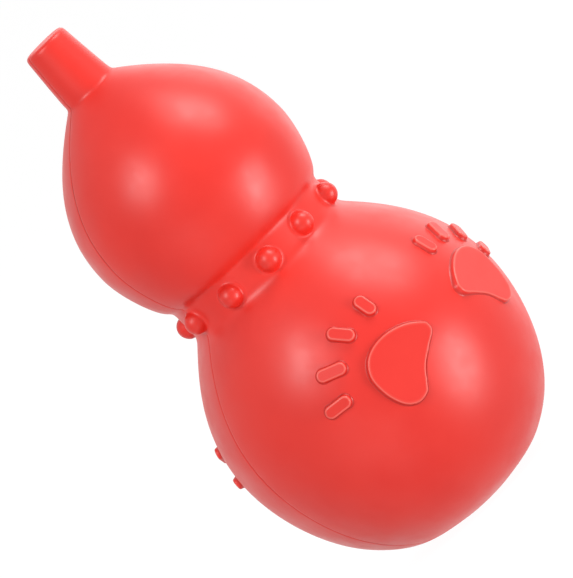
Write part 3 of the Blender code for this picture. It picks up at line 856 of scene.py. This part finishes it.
def sector_boundary():
    """Closed boundary of one sixth of the disc round its hole: from the middle out along
    one straight side, along the arc just inside the rounded rim, and back."""
    half = math.pi / HOLES
    arc = np.linspace(-half, half, 2 * SECTOR_STEPS + 1)
    rim = cap_radius - CAP_EDGE
    side = np.linspace(0.0, rim, SECTOR_STEPS + 1)[:-1]
    out = np.stack([side * math.cos(half), -side * math.sin(half)], axis=1)
    back = np.stack([side[::-1] * math.cos(half), side[::-1] * math.sin(half)], axis=1)
    return np.concatenate([out, rim * np.stack([np.cos(arc), np.sin(arc)], axis=1), back[:-1]])


def cap_sector(turn):
    """Rings of one sector: on the outer face from the boundary in to the hole, by shares of
    the way along straight lines, round the hole's edge, up its wall, and out again on the
    inner face. The hole's circle is split as the boundary is seen from its middle."""
    boundary = sector_boundary()
    centre = np.array([HOLE_CIRCLE, 0.0])
    away = boundary - centre
    away /= np.linalg.norm(away, axis=1)[:, None]
    turns = np.radians(np.linspace(0.0, 90.0, 5))
    shares = np.linspace(0.0, 1.0, 8)[:-1]
    circle = centre + (HOLE_RADIUS + HOLE_EDGE) * away
    face = [boundary + (circle - boundary) * share for share in shares]
    edge = [centre + (HOLE_RADIUS + HOLE_EDGE * (1 - math.sin(t))) * away for t in turns]
    rings = np.array(face + edge)
    low = [cap_low.z] * len(face) + [cap_low.z + HOLE_EDGE * (1 - math.cos(t)) for t in turns]
    both = np.concatenate([rings, rings[::-1]])
    heights = np.array(low + [cap_low.z + cap_high.z - height for height in low[::-1]])
    cosine, sine = math.cos(turn), math.sin(turn)
    x = both[..., 0] * cosine - both[..., 1] * sine
    y = both[..., 0] * sine + both[..., 1] * cosine
    return np.stack([x, y, heights[:, None] * np.ones_like(x)], axis=-1)


cap_points = []
cap_faces = []
count = 0
for number in range(HOLES):
    rings = cap_sector(2 * math.pi * number / HOLES)
    cap_faces += grid_faces(*rings.shape[:2], count, closed=True)
    cap_points.append(rings.reshape(-1, 3))
    count += rings.shape[0] * rings.shape[1]
rim_turns = np.radians(np.linspace(0.0, 90.0, 6))
rim_radius = cap_radius - CAP_EDGE * (1 - np.sin(rim_turns))
rim_height = cap_low.z + CAP_EDGE * (1 - np.cos(rim_turns))
rim_rows = np.stack([
    np.concatenate([rim_radius, rim_radius[::-1]]),
    np.concatenate([rim_height, cap_low.z + cap_high.z - rim_height[::-1]]),
], axis=1)  # fmt: skip
rim_angles = np.linspace(0.0, 2 * math.pi, 2 * SECTOR_STEPS * HOLES, endpoint=False)
rim_angles = rim_angles - math.pi / HOLES
rim = np.stack([
    rim_rows[:, :1] * np.cos(rim_angles), rim_rows[:, :1] * np.sin(rim_angles),
    rim_rows[:, 1:] * np.ones_like(rim_angles),
], axis=-1)  # fmt: skip
cap_faces += [face[::-1] for face in grid_faces(*rim.shape[:2], count, closed=True)]
cap_points.append(rim.reshape(-1, 3))
cap = put_mesh("perforated_cap", np.concatenate(cap_points), cap_faces, white_plastic)
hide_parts("squeaker_cap")
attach(cap, "toy_body")


# Reed, block and clamp
# The block and the clamp are half-round plastic pieces that hold the reed's root between
# them. The reed is a thin strip of clear film. Their shapes are the model's own.

FILM_TINT = (0.66, 0.71, 0.74)
FILM_HAZE = (0.74, 0.77, 0.78)
FILM_HAZE_PER_METRE = 500.0
FILM_SCRATCH = 0.12 * MM
FILM_SCRATCH_DEPTH = 0.001 * MM
FILM_ROUGHNESS = (0.16, 0.3)

reed_film, shader, nodes = new_material("reed_film")
place = nodes.add("ShaderNodeTexCoord").outputs["Object"]
stretch = nodes.add("ShaderNodeMapping", Vector=place, Scale=(1.0, 1.0, 0.12))
drawn = nodes.add(
    "ShaderNodeTexNoise", Vector=stretch.outputs["Vector"], Scale=1 / FILM_SCRATCH, Detail=3.0
)
haze = nodes.add("ShaderNodeTexNoise", Vector=place, Scale=FILM_HAZE_PER_METRE, Detail=2.0)
hazy = nodes.ramp(haze.outputs["Fac"], 0.35, 0.7)
nodes.put(shader.inputs["Base Color"], nodes.mix(hazy, FILM_TINT, FILM_HAZE))
nodes.put(shader.inputs["Roughness"], nodes.ramp(drawn.outputs["Fac"], 0.3, 0.7, *FILM_ROUGHNESS))
bump = nodes.add(
    "ShaderNodeBump", Strength=1.0, Distance=FILM_SCRATCH_DEPTH, Height=drawn.outputs["Fac"]
)
nodes.put(shader.inputs["Normal"], bump.outputs["Normal"])

for node, finish in (
    ("reed_block", white_plastic), ("reed_clamp", white_plastic), ("reed", reed_film),
):  # fmt: skip
    for material_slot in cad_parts[node].material_slots:
        material_slot.material = finish


# Stage
# A white table under the toy and white all round, as in a light tent.

FLOOR_SIZE = 6.0
TABLE_GREY = 0.10
TABLE_GLOW = 0.97
ROOM_LIGHT = 0.25  # on the toy, where the camera and reflections see white

floor_mesh = bpy.data.meshes.new("floor")
corner = FLOOR_SIZE / 2
floor_corners = [(x * corner, y * corner, 0.0) for x, y in ((-1, -1), (1, -1), (1, 1), (-1, 1))]
floor_mesh.from_pydata(floor_corners, [], [(0, 1, 2, 3)])
floor = bpy.data.objects.new("floor", floor_mesh)
bpy.context.scene.collection.objects.link(floor)
floor.visible_shadow = False
floor.visible_diffuse = False
floor.visible_glossy = False

white_table, shader, nodes = new_material("white_table")
shader.inputs["Base Color"].default_value = (TABLE_GREY, TABLE_GREY, TABLE_GREY, 1.0)
shader.inputs["Roughness"].default_value = 1.0
shader.inputs["Specular IOR Level"].default_value = 0.0
shader.inputs["Emission Color"].default_value = (1.0, 1.0, 1.0, 1.0)
shader.inputs["Emission Strength"].default_value = TABLE_GLOW
# The table is seen only from above, so that a view from below shows the toy's base
faces_away = nodes.add("ShaderNodeNewGeometry").outputs["Backfacing"]
clear = nodes.add("ShaderNodeBsdfTransparent")
one_sided = nodes.add("ShaderNodeMixShader", Fac=faces_away)
nodes.tree.links.new(shader.outputs["BSDF"], one_sided.inputs[1])
nodes.tree.links.new(clear.outputs["BSDF"], one_sided.inputs[2])
table_surface = nodes.tree.nodes["Material Output"].inputs["Surface"]
nodes.tree.links.new(one_sided.outputs["Shader"], table_surface)
floor_mesh.materials.append(white_table)

world = bpy.data.worlds.new("light_tent")
world.use_nodes = True
bpy.context.scene.world = world
tree = world.node_tree
room = tree.nodes["Background"]
room.inputs["Color"].default_value = (1.0, 1.0, 1.0, 1.0)
room.inputs["Strength"].default_value = ROOM_LIGHT
seen = tree.nodes.new("ShaderNodeBackground")
seen.inputs["Color"].default_value = (1.0, 1.0, 1.0, 1.0)
seen.inputs["Strength"].default_value = 1.0
path = tree.nodes.new("ShaderNodeLightPath")
choose = tree.nodes.new("ShaderNodeMixShader")
reflected = tree.nodes.new("ShaderNodeMath")
reflected.operation = "MAXIMUM"
tree.links.new(path.outputs["Is Glossy Ray"], reflected.inputs[0])
tree.links.new(path.outputs["Is Transmission Ray"], reflected.inputs[1])
white_seen = tree.nodes.new("ShaderNodeMath")
white_seen.operation = "MAXIMUM"
tree.links.new(path.outputs["Is Camera Ray"], white_seen.inputs[0])
tree.links.new(reflected.outputs[0], white_seen.inputs[1])
tree.links.new(white_seen.outputs[0], choose.inputs["Fac"])
tree.links.new(room.outputs["Background"], choose.inputs[1])
tree.links.new(seen.outputs["Background"], choose.inputs[2])
tree.links.new(choose.outputs["Shader"], tree.nodes["World Output"].inputs["Surface"])


# Camera
# Far off with a long lens, a little above the toy's equator, and rolled so that the toy
# lies slantwise in the picture with its stem at the upper left.

IMAGE_HEIGHT = 578
SENSOR_WIDTH = 36.0
FOCAL_PIXELS = 12000
PIXEL = 0.2216 * MM  # at the toy
AZIMUTH = math.radians(-27.5)
ELEVATION = math.radians(5.672)
ROLL = math.radians(44.49)
AXIS_POINT = Vector((0.0, 0.0, 64 * MM))
POINT_FROM_MIDDLE = (-0.54, -1.31)  # where the axis point is in the picture, in pixels

to_camera = Vector((
    math.sin(AZIMUTH) * math.cos(ELEVATION),
    -math.cos(AZIMUTH) * math.cos(ELEVATION),
    math.sin(ELEVATION),
))  # fmt: skip
level_right = Vector((math.cos(AZIMUTH), math.sin(AZIMUTH), 0.0))
level_up = to_camera.cross(level_right)
right = level_right * math.cos(ROLL) - level_up * math.sin(ROLL)
up = level_right * math.sin(ROLL) + level_up * math.cos(ROLL)
camera_data = bpy.data.cameras.new("camera")
camera_data.sensor_width = SENSOR_WIDTH
camera_data.lens = FOCAL_PIXELS * SENSOR_WIDTH / IMAGE_HEIGHT
camera = bpy.data.objects.new("camera", camera_data)
camera_place = AXIS_POINT + to_camera * FOCAL_PIXELS * PIXEL
camera_place -= (right * POINT_FROM_MIDDLE[0] + up * POINT_FROM_MIDDLE[1]) * PIXEL
camera_turn = Matrix((right, up, to_camera)).transposed().to_4x4()
camera.matrix_world = Matrix.Translation(camera_place) @ camera_turn
bpy.context.scene.collection.objects.link(camera)
bpy.context.scene.camera = camera


# Lamps
# Three soft boxes, one overhead and tall ones at the left and the right of the camera, a
# weak fill from below, and the lit white backdrop behind the toy. Each is given by
# its direction in the picture (right, up, towards the camera), its size, its watts and
# whether it shows in reflections.

LAMP_DISTANCE = 1.0
LAMPS = (
    ("top_softbox", (0.08, 0.965, 0.21), (0.6, 0.42), 6.0, True),
    ("left_softbox", (-0.68, 0.12, 0.72), (0.35, 0.5), 4.7, True),
    ("low_fill", (0.05, -0.7, 0.7), (0.8, 0.6), 3.2, False),
    ("right_softbox", (0.88, 0.13, 0.46), (0.26, 0.5), 5.6, True),
    ("backdrop", (0.15, 0.65, -0.75), (1.2, 0.9), 2.8, True),
)

for name, direction, size, power, shines in LAMPS:
    lamp_data = bpy.data.lights.new(name, "AREA")
    lamp_data.shape = "RECTANGLE"
    lamp_data.size = size[0]
    lamp_data.size_y = size[1]
    lamp_data.energy = power
    lamp = bpy.data.objects.new(name, lamp_data)
    towards = (right * direction[0] + up * direction[1] + to_camera * direction[2]).normalized()
    across = (right - towards * right.dot(towards)).normalized()
    if abs(direction[0]) > abs(direction[1]):
        lamp_up = (up - towards * up.dot(towards)).normalized()
        across = lamp_up.cross(towards)
    lamp.matrix_world = (
        Matrix.Translation(AXIS_POINT + towards * LAMP_DISTANCE)
        @ Matrix((across, towards.cross(across), towards)).transposed().to_4x4()
    )
    lamp.visible_camera = False
    lamp.visible_glossy = shines
    bpy.context.scene.collection.objects.link(lamp)

bpy.context.scene.view_settings.view_transform = "Standard"
